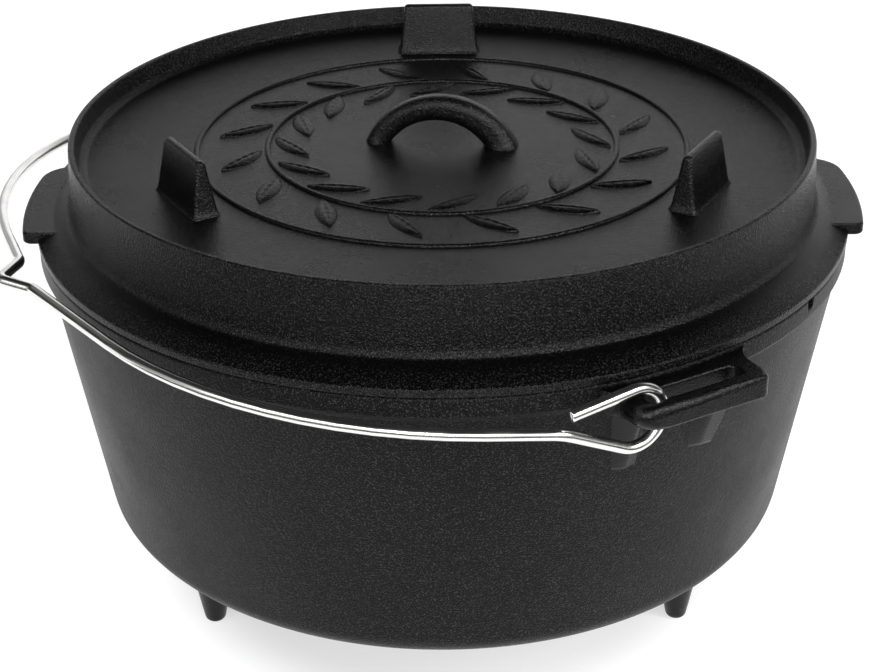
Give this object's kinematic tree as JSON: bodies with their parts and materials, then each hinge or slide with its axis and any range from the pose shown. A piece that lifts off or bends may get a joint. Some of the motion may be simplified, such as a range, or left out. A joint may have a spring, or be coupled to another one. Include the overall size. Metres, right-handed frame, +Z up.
{
  "type": "camp dutch oven",
  "caption": "Cast-iron camp dutch oven: a footed pot with slotted ears, a flanged lid with a coal rim, legs and bow handle, and a wire bail that swings over it.",
  "frame": {"origin": "on the ground, under the axis of the pot", "axes": "+Z up along the pot axis, Y through the two ears with the front ear at -Y, and the bail laid down towards -X"},
  "size_m": [0.366, 0.382, 0.2249],
  "materials": {
    "pot_iron": "black seasoned sand casting, fine grain, low sheen",
    "lid_iron": "black seasoned sand casting, fine grain, low sheen",
    "bail_steel": "bright drawn steel wire"
  },
  "bodies": {
    "pot": {"pot_shell": "pot_iron", "pot_ear_front": "pot_iron", "pot_ear_rear": "pot_iron", "pot_foot_left": "pot_iron", "pot_foot_front": "pot_iron", "pot_foot_rear": "pot_iron"},
    "lid": {"lid_plate": "lid_iron", "lid_rim": "lid_iron", "lid_handle": "lid_iron", "lid_leg_left": "lid_iron", "lid_leg_right": "lid_iron", "lid_leg_rear": "lid_iron", "lid_tab_left": "lid_iron", "lid_tab_right": "lid_iron", "lid_wreath": "lid_iron"},
    "bail": {"bail": "bail_steel"}
  },
  "joints": [
    {"name": "lid_lift", "type": "slide", "parent": "pot", "child": "lid", "axis": [0, 0, 1], "range_m": [0, 0.25]},
    {"name": "bail_swing", "type": "hinge", "parent": "pot", "child": "bail", "pos_m": [-0.0252, 0, 0.1681], "axis": [0, 1, 0], "range_deg": [0, 146]}
  ]
}
